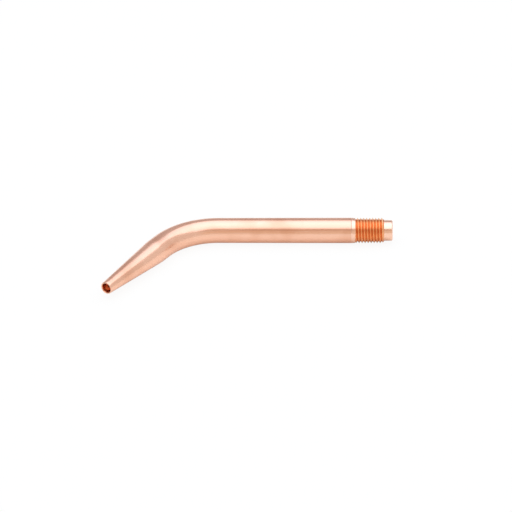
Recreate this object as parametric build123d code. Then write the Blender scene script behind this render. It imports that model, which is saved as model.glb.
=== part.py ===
from build123d import *
import math
import os

# A swaged copper gas welding tip: one bent tube, threaded where it screws into the torch.
# Millimetres. The origin is on the thread's axis where the thread ends against the shank.
# +X runs out of the inlet, the bend lies in the XY plane towards -Y, and +Z is up
# when the tip lies flat on a bench.

# Thread and pilot, at the inlet end
thread_major_dia = 7.85
thread_pitch = 25.4 / 27
thread_length = 8.95
pilot_step = 0.2
pilot_length = 2.7
pilot_rounding = 0.4

# Shank, from the thread to the bend
shank_dia = 7.94
shank_length = 42.5
shoulder_length = 1.15
shoulder_dia = 7.74

# Bend, drawn down slightly from the bar size
bent_dia = 7.8
bend_radius = 21.3
bend_angle = 55.5

# Outlet, swaged to a long taper past the bend
outlet_straight = 4.5
taper_length = 26.0
taper_blend = 30.0
mouth_dia = 3.91
mouth_rounding = 0.15

# Gas passage, from the inlet to the mouth
bore_dia = 4.2
inlet_countersink = 0.3
orifice_dia = 1.5
orifice_length = 6.0
rim_wall = 0.43
flame_cup_depth = 4.0
flame_cup_chamfer = 0.08
drill_point_angle = 118.0

# How far a cutting tool runs past an open end
tool_overrun = 1.0

# Sizes that follow from the ones above. A unified thread is five eighths of a sharp 60 degree V deep.
thread_depth = 5 / 8 * thread_pitch * math.sin(math.radians(60))
thread_root_radius = thread_major_dia / 2 - thread_depth
pilot_radius = thread_root_radius - pilot_step
inlet_x = thread_length + pilot_length
outlet_length = outlet_straight + taper_length
mouth_radius = mouth_dia / 2
flame_cup_radius = mouth_radius - rim_wall
drill_point_depth = (flame_cup_radius - orifice_dia / 2) / math.tan(math.radians(drill_point_angle / 2))
orifice_exit = outlet_length - flame_cup_depth - drill_point_depth
orifice_entry = orifice_exit - orifice_length


def turned(points, roundings={}):
    """A solid of revolution about X, from its half profile of (x, radius) points.

    roundings holds the corner radius of each point that is rounded.
    """
    first_x, last_x = points[0][0], points[-1][0]
    profile = make_face(Polyline((first_x, 0), *points, (last_x, 0), close=True))
    for point, rounding in roundings.items():
        corner = profile.vertices().sort_by_distance((*point, 0))[0]
        profile = fillet(corner, rounding)
    return revolve(profile, Axis.X)


def swept_bend(radius):
    """A round bar of this radius round the bend, starting where the shank ends."""
    start = Plane(origin=(-shank_length, 0, 0), z_dir=(-1, 0, 0))
    centre_line = Axis((-shank_length, -bend_radius, 0), (0, 0, 1))
    return revolve(start * Circle(radius), centre_line, bend_angle)


def at_outlet(shape):
    """Place a shape that was turned about X from the origin on the outlet's axis, past the bend."""
    turn = math.radians(bend_angle)
    bend_end = (
        -shank_length - bend_radius * math.sin(turn),
        -bend_radius * (1 - math.cos(turn)),
        0,
    )
    return Location(bend_end, (0, 0, 180 + bend_angle)) * shape


def inlet_end():
    """The drafted shank, its shoulder, the thread at its major diameter and the pilot.

    The thread has a lead-in down to its root, which the pilot passes under.
    """
    pilot_edge = (inlet_x, pilot_radius)
    return turned(
        [
            (-shank_length, bent_dia / 2),
            (-shoulder_length, shank_dia / 2),
            (0, shoulder_dia / 2),
            (0, thread_major_dia / 2),
            (thread_length - thread_depth, thread_major_dia / 2),
            (thread_length, thread_root_radius),
            (thread_length, pilot_radius),
            pilot_edge,
        ],
        {pilot_edge: pilot_rounding},
    )


def outlet_end():
    """The straight after the bend, blended into the swaged taper, with a rounded rim."""
    taper_start = (outlet_straight, bent_dia / 2)
    mouth_edge = (outlet_length, mouth_radius)
    return at_outlet(
        turned(
            [(0, bent_dia / 2), taper_start, mouth_edge],
            {taper_start: taper_blend, mouth_edge: min(mouth_rounding, rim_wall / 2)},
        )
    )


def inlet_passage():
    """The drilled bore through the pilot, thread and shank, with its countersink."""
    return turned(
        [
            (-shank_length, bore_dia / 2),
            (inlet_x - inlet_countersink, bore_dia / 2),
            (inlet_x, bore_dia / 2 + inlet_countersink),
            (inlet_x + tool_overrun, bore_dia / 2 + inlet_countersink),
        ]
    )


def outlet_passage():
    """The bore closing down with the taper to the orifice, then the flame cup at the mouth."""
    cup_edge = flame_cup_radius + flame_cup_chamfer
    return at_outlet(
        turned(
            [
                (0, bore_dia / 2),
                (outlet_straight, bore_dia / 2),
                (orifice_entry, orifice_dia / 2),
                (orifice_exit, orifice_dia / 2),
                (outlet_length - flame_cup_depth, flame_cup_radius),
                (outlet_length - flame_cup_chamfer, flame_cup_radius),
                (outlet_length, cup_edge),
                (outlet_length + tool_overrun, cup_edge),
            ]
        )
    )


def welding_tip():
    outside = inlet_end() + swept_bend(bent_dia / 2) + outlet_end()
    passage = inlet_passage() + swept_bend(bore_dia / 2) + outlet_passage()
    return (outside - passage).solid()


os.makedirs("parts", exist_ok=True)
export_step(welding_tip(), "parts/welding_tip.step")
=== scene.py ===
import math

import bmesh
import bpy
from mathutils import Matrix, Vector


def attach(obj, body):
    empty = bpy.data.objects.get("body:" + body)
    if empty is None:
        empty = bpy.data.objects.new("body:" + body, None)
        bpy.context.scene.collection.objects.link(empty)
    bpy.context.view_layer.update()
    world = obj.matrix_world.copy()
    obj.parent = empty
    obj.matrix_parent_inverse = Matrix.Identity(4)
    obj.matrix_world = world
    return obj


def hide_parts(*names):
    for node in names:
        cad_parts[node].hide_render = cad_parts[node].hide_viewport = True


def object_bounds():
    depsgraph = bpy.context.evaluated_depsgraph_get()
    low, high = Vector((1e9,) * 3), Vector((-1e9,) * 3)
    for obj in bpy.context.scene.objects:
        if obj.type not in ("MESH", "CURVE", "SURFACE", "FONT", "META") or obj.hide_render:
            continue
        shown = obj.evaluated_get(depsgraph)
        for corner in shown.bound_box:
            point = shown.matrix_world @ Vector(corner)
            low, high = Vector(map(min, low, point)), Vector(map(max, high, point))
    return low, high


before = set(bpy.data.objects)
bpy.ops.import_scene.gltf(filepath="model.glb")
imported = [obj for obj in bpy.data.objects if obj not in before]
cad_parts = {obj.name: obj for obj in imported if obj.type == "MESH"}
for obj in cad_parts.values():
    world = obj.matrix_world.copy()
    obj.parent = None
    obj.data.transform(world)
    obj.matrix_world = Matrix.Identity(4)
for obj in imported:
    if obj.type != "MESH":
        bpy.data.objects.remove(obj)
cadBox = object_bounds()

# A swaged copper gas welding tip lying on a white bench. The real one is turned and threaded as a
# straight bar and bent last, and so is the mesh here. The tip's lengths are millimetres and the
# studio's are metres.
mm = 0.001
turnSteps = 128         # faces round everything that is turned
roundingSegments = 5
weldDistance = 1e-6     # metres
cutTolerance = 1e-8     # metres
sharpAngle = math.radians(28)

# Material slots on the mesh
copperSlot, bandSlot, threadSlot, passageSlot = range(4)


# The bar: outside, gas passage and pilot

tip = {
    "shoulderFace": 3.80,       # the flat of the shoulder, inside its rounded edge
    "shoulderRadius": 3.87,
    "shoulderRounding": 0.04,
    "bandLength": 1.15,         # the bright turned band next to the thread
    "shankRadius": 3.967,
    "grooveWidth": 0.16,        # the fine turned line between band and shank
    "grooveDepth": 0.05,
    "grooveRounding": 0.02,
    "shankLength": 42.5,
    "bentRadius": 3.9,
    "bendRadius": 21.3,
    "bendAngle": 55.5,          # degrees
    "outletStraight": 4.5,
    "taperLength": 26.0,
    "taperBlend": 1.12,         # reach of the blend to each side of the taper's start
    "mouthRadius": 1.955,
    "mouthRounding": 0.15,
    "cupRadius": 1.525,
    "cupChamfer": 0.16,         # twice the solid's, so that the rim's inner edge catches light
    "cupChamferRounding": 0.03,
    "cupDepth": 4.0,
    "drillPointDepth": 0.466,
    "orificeRadius": 0.75,
    "orificeLength": 6.0,
    "boreRadius": 2.1,
    "countersink": 0.3,
    "pilotRadius": 3.216,
    "pilotLength": 2.7,
    "pilotRounding": 0.4,
    "ringSpacing": 1.0,         # rings of faces along the bar
}

thread = {
    "pitch": 25.4 / 27,
    "length": 8.95,
    "majorRadius": 3.925,
    "rootRadius": 3.416,
    "crestFlat": 0.05,
    "rootFlat": 0.12,
    "flankCuts": 6,
    "crestAbove": 0.822,        # where a crest passes straight above the axis
    "turns": 13,                # more than the length needs, as both ends are cut
    "shoulderGap": 0.01,        # how far inside the shoulder's flat its lead-in starts
}


def turnProfile(bm, points, slot):
    # points are (x, radius, reach of the rounding); long runs get rings for the bend to follow
    facesBefore = len(bm.faces)
    places = [Vector((x * mm, 0, radius * mm)) for x, radius, rounding in points]
    verts = [bm.verts.new(place) for place in places]
    for pair in zip(verts, verts[1:]):
        bm.edges.new(pair)
    # corners are rounded while the profile is still a bare wire, and the cuts come after
    for place, (x, radius, rounding) in zip(places, points):
        if rounding:
            wire = [v for v in bm.verts if not v.link_faces]
            corner = min(wire, key=lambda v: (v.co - place).length)
            bmesh.ops.bevel(bm, geom=[corner], offset=rounding * mm, offset_type="OFFSET",
                            segments=roundingSegments, profile=0.5, affect="VERTICES", material=-1)
    for edge in [e for e in bm.edges if not e.link_faces]:
        cuts = int(edge.calc_length() / (tip["ringSpacing"] * mm))
        if cuts:
            bmesh.ops.subdivide_edges(bm, edges=[edge], cuts=cuts)
    wire = [v for v in bm.verts if not v.link_faces] + [e for e in bm.edges if not e.link_faces]
    bmesh.ops.spin(bm, geom=wire, cent=(0, 0, 0), axis=(1, 0, 0),
                   angle=2 * math.pi, steps=turnSteps, use_merge=True)
    bm.faces.ensure_lookup_table()
    for face in bm.faces[facesBefore:]:
        face.material_index = slot


def makeBar(bm):
    bendLength = tip["bendRadius"] * math.radians(tip["bendAngle"])
    bendEnd = -tip["shankLength"] - bendLength
    taperStart = bendEnd - tip["outletStraight"]
    mouth = taperStart - tip["taperLength"]
    inlet = thread["length"] + tip["pilotLength"]
    grooveEnd = -tip["bandLength"] - tip["grooveWidth"]
    cupEdge = tip["cupRadius"] + tip["cupChamfer"]
    cupEnd = mouth + tip["cupDepth"]
    orificeExit = cupEnd + tip["drillPointDepth"]
    orificeEntry = orificeExit + tip["orificeLength"]

    turnProfile(bm, [
        (0, tip["shoulderFace"], 0),
        (0, tip["shoulderRadius"], tip["shoulderRounding"]),
        (-tip["bandLength"], tip["shankRadius"], tip["grooveRounding"]),
        (-tip["bandLength"] - tip["grooveWidth"] / 2, tip["shankRadius"] - tip["grooveDepth"], 0),
        (grooveEnd, tip["shankRadius"], tip["grooveRounding"]),
    ], bandSlot)
    turnProfile(bm, [
        (grooveEnd, tip["shankRadius"], 0),
        (-tip["shankLength"], tip["bentRadius"], 0),
        (bendEnd, tip["bentRadius"], 0),
        (taperStart, tip["bentRadius"], tip["taperBlend"]),
        (mouth, tip["mouthRadius"], tip["mouthRounding"]),
        (mouth, cupEdge, 0),
    ], copperSlot)
    turnProfile(bm, [
        (mouth, cupEdge, 0),
        (mouth + tip["cupChamfer"], tip["cupRadius"], tip["cupChamferRounding"]),
        (cupEnd, tip["cupRadius"], 0),
        (orificeExit, tip["orificeRadius"], 0),
        (orificeEntry, tip["orificeRadius"], 0),
        (taperStart, tip["boreRadius"], 0),
        (bendEnd, tip["boreRadius"], 0),
        (inlet - tip["countersink"], tip["boreRadius"], 0),
        (inlet, tip["boreRadius"] + tip["countersink"], 0),
    ], passageSlot)
    turnProfile(bm, [
        (inlet, tip["boreRadius"] + tip["countersink"], 0),
        (inlet, tip["pilotRadius"], tip["pilotRounding"]),
        (thread["length"], tip["pilotRadius"], 0),
    ], bandSlot)


def makeThread(bm):
    # one pitch of the V, from root to root, is screwed through one turn and the turns are stacked
    pitch = thread["pitch"] * mm
    crest, root = thread["majorRadius"] * mm, thread["rootRadius"] * mm
    halfCrest, halfRoot = thread["crestFlat"] / 2 * mm, thread["rootFlat"] / 2 * mm
    middle = (thread["crestAbove"] - 2 * thread["pitch"]) * mm
    corners = [
        (middle - pitch / 2, root), (middle - pitch / 2 + halfRoot, root),
        (middle - halfCrest, crest), (middle + halfCrest, crest),
        (middle + pitch / 2 - halfRoot, root), (middle + pitch / 2, root),
    ]
    verts = [bm.verts.new((x, 0, radius)) for x, radius in corners]
    edges = [bm.edges.new(pair) for pair in zip(verts, verts[1:])]
    bmesh.ops.subdivide_edges(bm, edges=[edges[1], edges[3]], cuts=thread["flankCuts"])
    bmesh.ops.spin(bm, geom=bm.verts[:] + bm.edges[:], cent=(0, 0, 0), axis=(1, 0, 0),
                   angle=2 * math.pi, steps=turnSteps, dvec=(pitch / turnSteps, 0, 0))
    oneTurn = bm.verts[:] + bm.edges[:] + bm.faces[:]
    for turn in range(1, thread["turns"]):
        copied = bmesh.ops.duplicate(bm, geom=oneTurn)["geom"]
        copiedVerts = [g for g in copied if isinstance(g, bmesh.types.BMVert)]
        bmesh.ops.translate(bm, verts=copiedVerts, vec=(turn * pitch, 0, 0))
    bmesh.ops.remove_doubles(bm, verts=bm.verts, dist=weldDistance)

    # cut square at the shoulder and at the free end, with a lead-in at both
    end = thread["length"] * mm
    shoulder = (tip["shoulderFace"] - thread["shoulderGap"]) * mm
    for place, direction in ((0, -1), (end, 1)):
        bmesh.ops.bisect_plane(bm, geom=bm.verts[:] + bm.edges[:] + bm.faces[:], dist=cutTolerance,
                               plane_co=(place, 0, 0), plane_no=(direction, 0, 0), clear_outer=True)
    for vert in bm.verts:
        radius = math.hypot(vert.co.y, vert.co.z)
        allowed = min(root + end - vert.co.x, shoulder + vert.co.x)
        if radius > allowed:
            vert.co.yz = vert.co.yz * (allowed / radius)
    for face in bm.faces:
        face.material_index = threadSlot


def ringAt(bm, x):
    # the open edges in the plane at x: the bar's ring and the thread's, with a flat face between
    return [e for e in bm.edges if e.is_boundary
            and all(abs(v.co.x - x * mm) < weldDistance for v in e.verts)]


def bendBar(bm):
    # what lies past the shank turns round the bend's centre, and the outlet goes on straight
    radius = tip["bendRadius"] * mm
    start = -tip["shankLength"] * mm
    for vert in bm.verts:
        along = start - vert.co.x
        if along <= 0:
            continue
        turn = min(along / radius, math.radians(tip["bendAngle"]))
        beyond = along - turn * radius
        outward = Vector((-math.sin(turn), math.cos(turn), 0))
        forward = Vector((-math.cos(turn), -math.sin(turn), 0))
        centre = Vector((start, -radius, 0))
        vert.co = centre + outward * (radius + vert.co.y) + forward * beyond + Vector((0, 0, vert.co.z))


def makeTip():
    bar, screw = bmesh.new(), bmesh.new()
    makeBar(bar)
    makeThread(screw)
    screwMesh = bpy.data.meshes.new("screw")
    screw.to_mesh(screwMesh)
    screw.free()
    bar.from_mesh(screwMesh)
    bpy.data.meshes.remove(screwMesh)
    bmesh.ops.remove_doubles(bar, verts=bar.verts, dist=weldDistance)
    for x in (0, thread["length"]):
        filled = bmesh.ops.triangle_fill(bar, edges=ringAt(bar, x), normal=(1, 0, 0), use_beauty=True)
        for face in filled["geom"]:
            if isinstance(face, bmesh.types.BMFace):
                face.material_index = bandSlot
    # each point's place before bending, in mm, so that the marks in the metal follow the bend
    straight = bar.verts.layers.float_vector.new("straight")
    for vert in bar.verts:
        vert[straight] = vert.co / mm
    bendBar(bar)
    bmesh.ops.recalc_face_normals(bar, faces=bar.faces)
    openEdges = sum(1 for e in bar.edges if not e.is_manifold)
    print("tip:", len(bar.faces), "faces,", openEdges, "open edges, volume",
          round(bar.calc_volume() / mm ** 3), "mm3")
    mesh = bpy.data.meshes.new("tip")
    bar.to_mesh(mesh)
    bar.free()
    mesh.shade_smooth()
    mesh.set_sharp_from_angle(angle=sharpAngle)
    piece = bpy.data.objects.new("tip", mesh)
    bpy.context.collection.objects.link(piece)
    return piece


# Materials

def linearColour(hexText):
    parts = [int(hexText[i:i + 2], 16) / 255 for i in (1, 3, 5)]
    return tuple(c / 12.92 if c <= 0.04045 else ((c + 0.055) / 1.055) ** 2.4 for c in parts) + (1,)


def addNode(tree, kind, inputs={}, **settings):
    node = tree.nodes.new("ShaderNode" + kind)
    for name, value in settings.items():
        setattr(node, name, value)
    for socket, value in inputs.items():
        if isinstance(value, bpy.types.NodeSocket):
            tree.links.new(value, node.inputs[socket])
        else:
            node.inputs[socket].default_value = value
    return node


def newMaterial(name):
    material = bpy.data.materials.new(name)
    material.use_nodes = True
    material.node_tree.nodes.clear()
    return material, material.node_tree


noiseLow, noiseHigh = 0.3, 0.7     # most of a noise texture's values lie between these


def finishMetal(tree, look, colour, marks):
    # the same marks roughen the metal and stand up from it
    smooth, rough = look["roughness"]
    roughness = addNode(tree, "MapRange", {
        "Value": marks, "From Min": noiseLow, "From Max": noiseHigh,
        "To Min": smooth, "To Max": rough,
    })
    relief = addNode(tree, "Bump", {
        "Height": marks, "Strength": look["markStrength"], "Distance": look["markHeight"] * mm,
    })
    shader = addNode(tree, "BsdfPrincipled", {
        "Base Color": colour, "Metallic": 1.0, "Roughness": roughness.outputs[0],
        "Normal": relief.outputs[0],
    })
    addNode(tree, "OutputMaterial", {"Surface": shader.outputs[0]})


copperLook = {
    "base": "#F6C1A4",
    "handled": "#E9AE8E",       # where fingers have dulled it
    "drawMark": 0.35,           # mm across a draw mark
    "drawMarkLength": 22.0,     # mm along it
    "cloud": 9.0,               # mm across a handled patch
    "dullFrom": 0.45,           # the part of the cloud's noise over which the patch comes in
    "dullTo": 0.75,
    "roughness": (0.17, 0.30),
    "markHeight": 0.004,        # mm
    "markStrength": 0.5,
}


def drawnCopper():
    # polished drawn and swaged copper: fine marks along the bar streak its highlight, and handling
    # leaves faint duller patches
    look = copperLook
    material, tree = newMaterial("drawnCopper")
    place = addNode(tree, "Attribute", attribute_name="straight").outputs["Vector"]
    alongBar = addNode(tree, "Mapping", {
        "Vector": place,
        "Scale": (1 / look["drawMarkLength"], 1 / look["drawMark"], 1 / look["drawMark"]),
    })
    marks = addNode(tree, "TexNoise", {"Vector": alongBar.outputs[0], "Scale": 1.0, "Detail": 3.0})
    patches = addNode(tree, "TexNoise", {"Vector": place, "Scale": 1 / look["cloud"], "Detail": 2.0})
    dullness = addNode(tree, "MapRange", {
        "Value": patches.outputs[0], "From Min": look["dullFrom"], "From Max": look["dullTo"],
    })
    colour = addNode(tree, "Mix", {
        0: dullness.outputs[0], 6: linearColour(look["base"]), 7: linearColour(look["handled"]),
    }, data_type="RGBA")
    finishMetal(tree, look, colour.outputs[2], marks.outputs[0])
    return material


bandLook = {
    # paler than the drawn bar: partly the fresh turned finish, partly a painted highlight
    "base": "#FACBB0",
    "toolMark": 0.12,           # mm between turning marks, coarser than real so that it shows
    "alongRing": 0.15,          # changes per mm along a ring
    "roughness": (0.16, 0.26),
    "markHeight": 0.002,
    "markStrength": 0.5,
}


def turnedCopper():
    # copper faced and turned on a lathe: rings round the axis, paler than the drawn bar, partly for its
    # fresh turned finish and partly as a painted highlight for the band's brighter reflection
    look = bandLook
    material, tree = newMaterial("turnedCopper")
    place = addNode(tree, "Attribute", attribute_name="straight").outputs["Vector"]
    across = addNode(tree, "Mapping", {
        "Vector": place, "Scale": (1 / look["toolMark"], look["alongRing"], look["alongRing"]),
    })
    marks = addNode(tree, "TexNoise", {"Vector": across.outputs[0], "Scale": 1.0, "Detail": 2.0})
    finishMetal(tree, look, linearColour(look["base"]), marks.outputs[0])
    return material


threadLook = {
    "crest": "#FFCB98",
    "root": "#E68C54",          # painted shade: the roots are painted redder and darker for the light the V grooves trap
    "rootReach": 0.05,          # mm up from the root before its colour starts to change
    "crestReach": 0.08,         # mm down from the crest that has the crest's colour
    "tearing": 0.25,            # mm, the torn grain that a die leaves in soft copper
    "roughness": (0.24, 0.40),
    "markHeight": 0.003,
    "markStrength": 0.4,
}


def cutCopper():
    # copper cut by a threading die: pale orange crests over roots painted redder and darker as painted
    # shade for the V grooves, and slightly torn flanks, so the thread reads as a deeper orange than the
    # polished bar
    look = threadLook
    material, tree = newMaterial("cutCopper")
    place = addNode(tree, "Attribute", attribute_name="straight").outputs["Vector"]
    tearing = addNode(tree, "TexNoise", {"Vector": place, "Scale": 1 / look["tearing"], "Detail": 3.0})
    offAxis = addNode(tree, "Mapping", {"Vector": place, "Scale": (0, 1, 1)})
    radius = addNode(tree, "VectorMath", {0: offAxis.outputs[0]}, operation="LENGTH")
    # painted shade: the colour runs from the redder, darker root up to the pale crest, for the light
    # the V grooves trap
    grooveShade = addNode(tree, "MapRange", {
        "Value": radius.outputs["Value"], "From Min": thread["rootRadius"] + look["rootReach"],
        "From Max": thread["majorRadius"] - look["crestReach"],
    }, interpolation_type="SMOOTHSTEP")
    colour = addNode(tree, "Mix", {
        0: grooveShade.outputs[0], 6: linearColour(look["root"]), 7: linearColour(look["crest"]),
    }, data_type="RGBA")
    finishMetal(tree, look, colour.outputs[2], tearing.outputs[0])
    return material


passageLook = {
    "base": "#F8B48C",
    "tint": "#EE9A6C",
    "drillMark": 0.3,           # mm between the rings that a drill leaves
    "alongRing": 0.4,           # changes per mm along a ring
    "roughness": (0.20, 0.34),
    "markHeight": 0.006,
    "markStrength": 0.4,
}


def drilledCopper():
    # drilled copper, reddened by heat and rougher than the polished bar: its walls mirror each
    # other, which takes the mouth from orange down to a dark red
    look = passageLook
    material, tree = newMaterial("drilledCopper")
    place = addNode(tree, "Attribute", attribute_name="straight").outputs["Vector"]
    across = addNode(tree, "Mapping", {
        "Vector": place, "Scale": (1 / look["drillMark"], look["alongRing"], look["alongRing"]),
    })
    rings = addNode(tree, "TexNoise", {"Vector": across.outputs[0], "Scale": 1.0, "Detail": 2.0})
    colour = addNode(tree, "Mix", {
        0: rings.outputs[0], 6: linearColour(look["base"]), 7: linearColour(look["tint"]),
    }, data_type="RGBA")
    finishMetal(tree, look, colour.outputs[2], rings.outputs[0])
    return material


# Bench, light and camera

studio = {
    "floorSize": 8.0,
    "floorColour": "#F0EEE6",
    "whiteToCamera": 0.92,      # how far the bench is plain white; the rest is shaded
    "whiteToMetal": 0.15,       # the same for what the copper mirrors
    "roomInFront": "#E9DFD3",   # what the copper mirrors of the room, low down in front of it
    "roomShades": (             # axis, where on it the shade starts and is full, and its colour
        ("Z", 0.35, 0.55, "#D2C0B4"),       # above
        ("Y", -0.3, 0.5, "#C8C4CA"),        # behind
        ("X", 0.35, 0.75, "#EBEDF1"),       # right
        ("X", -0.35, -0.75, "#8F8780"),     # left
    ),
    "softboxSize": (1.33, 1.33),
    "softboxPlace": (-0.03, 0.01, 0.7),
    "softboxPower": 5.5,
    "softboxColour": "#CFE5FF",
    "softboxSpread": 140,       # degrees, so that it fades towards its edges
    "fillSize": 2.4,            # a wide lamp for the bench alone
    "fillHeight": 1.2,
    "fillPower": 3.8,
    "cameraTarget": (-0.031, -0.00418, -0.00682),
    "cameraElevation": 31.5,    # degrees
    "cameraDistance": 3.0,
    "pictureWidth": 0.1599,     # at the target
}


def makeFloor():
    bm = bmesh.new()
    bmesh.ops.create_grid(bm, x_segments=1, y_segments=1, size=studio["floorSize"] / 2)
    bmesh.ops.translate(bm, verts=bm.verts, vec=(0, 0, cadBox[0].z))
    mesh = bpy.data.meshes.new("bench")
    bm.to_mesh(mesh)
    bm.free()
    bench = bpy.data.objects.new("bench", mesh)
    bpy.context.collection.objects.link(bench)
    material, tree = newMaterial("whitePaper")
    # nearly plain white to the camera and slightly lit in the metal, with some of the tip's shadow
    rays = addNode(tree, "LightPath")
    toCamera = addNode(tree, "Math", {0: rays.outputs["Is Camera Ray"], 1: studio["whiteToCamera"]},
                       operation="MULTIPLY")
    seen = addNode(tree, "Math", {
        0: rays.outputs["Is Glossy Ray"], 1: studio["whiteToMetal"], 2: toCamera.outputs[0],
    }, operation="MULTIPLY_ADD")
    paper = addNode(tree, "BsdfDiffuse", {"Color": linearColour(studio["floorColour"])})
    white = addNode(tree, "Emission", {"Color": (1, 1, 1, 1), "Strength": 1.0})
    mixed = addNode(tree, "MixShader", {0: seen.outputs[0], 1: paper.outputs[0], 2: white.outputs[0]})
    addNode(tree, "OutputMaterial", {"Surface": mixed.outputs[0]})
    bench.data.materials.append(material)


def makeWorld():
    # white to the camera; round the metal a plain room, darker above, behind and to the left
    world = bpy.data.worlds.new("studio")
    bpy.context.scene.world = world
    world.use_nodes = True
    tree = world.node_tree
    tree.nodes.clear()
    rays = addNode(tree, "LightPath")
    direction = addNode(tree, "SeparateXYZ", {0: addNode(tree, "TexCoord").outputs["Generated"]})
    colour = linearColour(studio["roomInFront"])
    for axis, start, end, shade in studio["roomShades"]:
        share = addNode(tree, "MapRange", {
            "Value": direction.outputs[axis], "From Min": start, "From Max": end,
        }, interpolation_type="SMOOTHSTEP")
        colour = addNode(tree, "Mix", {0: share.outputs[0], 6: colour, 7: linearColour(shade)},
                         data_type="RGBA").outputs[2]
    seen = addNode(tree, "Mix", {0: rays.outputs["Is Camera Ray"], 6: colour, 7: (1, 1, 1, 1)},
                   data_type="RGBA")
    light = addNode(tree, "Background", {"Color": seen.outputs[2], "Strength": 1.0})
    addNode(tree, "OutputWorld", {"Surface": light.outputs[0]})


def makeLight():
    lamp = bpy.data.lights.new("softbox", "AREA")
    lamp.shape = "RECTANGLE"
    lamp.size, lamp.size_y = studio["softboxSize"]
    lamp.energy = studio["softboxPower"]
    lamp.color = linearColour(studio["softboxColour"])[:3]
    lamp.spread = math.radians(studio["softboxSpread"])
    softbox = bpy.data.objects.new("softbox", lamp)
    softbox.location = studio["softboxPlace"]
    softbox.visible_camera = False
    bpy.context.collection.objects.link(softbox)
    wide = bpy.data.lights.new("benchFill", "AREA")
    wide.size = studio["fillSize"]
    wide.energy = studio["fillPower"]
    fill = bpy.data.objects.new("benchFill", wide)
    fill.location = (0, 0, studio["fillHeight"])
    fill.visible_camera = False
    fill.visible_glossy = False
    bpy.context.collection.objects.link(fill)


def makeCamera():
    elevation = math.radians(studio["cameraElevation"])
    camera = bpy.data.cameras.new("camera")
    camera.lens = camera.sensor_width * studio["cameraDistance"] / studio["pictureWidth"]
    eye = bpy.data.objects.new("camera", camera)
    towards = Vector((0, -math.cos(elevation), math.sin(elevation)))
    eye.location = Vector(studio["cameraTarget"]) + towards * studio["cameraDistance"]
    eye.rotation_euler = (math.pi / 2 - elevation, 0, 0)
    bpy.context.collection.objects.link(eye)
    bpy.context.scene.camera = eye


makeFloor()
makeWorld()
makeLight()
makeCamera()
bpy.context.scene.view_settings.view_transform = "Standard"
print("studio made")

tipPiece = makeTip()
for makeMaterial in (drawnCopper, turnedCopper, cutCopper, drilledCopper):
    tipPiece.data.materials.append(makeMaterial())
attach(tipPiece, "root")
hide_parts("welding_tip")
print("tip made")
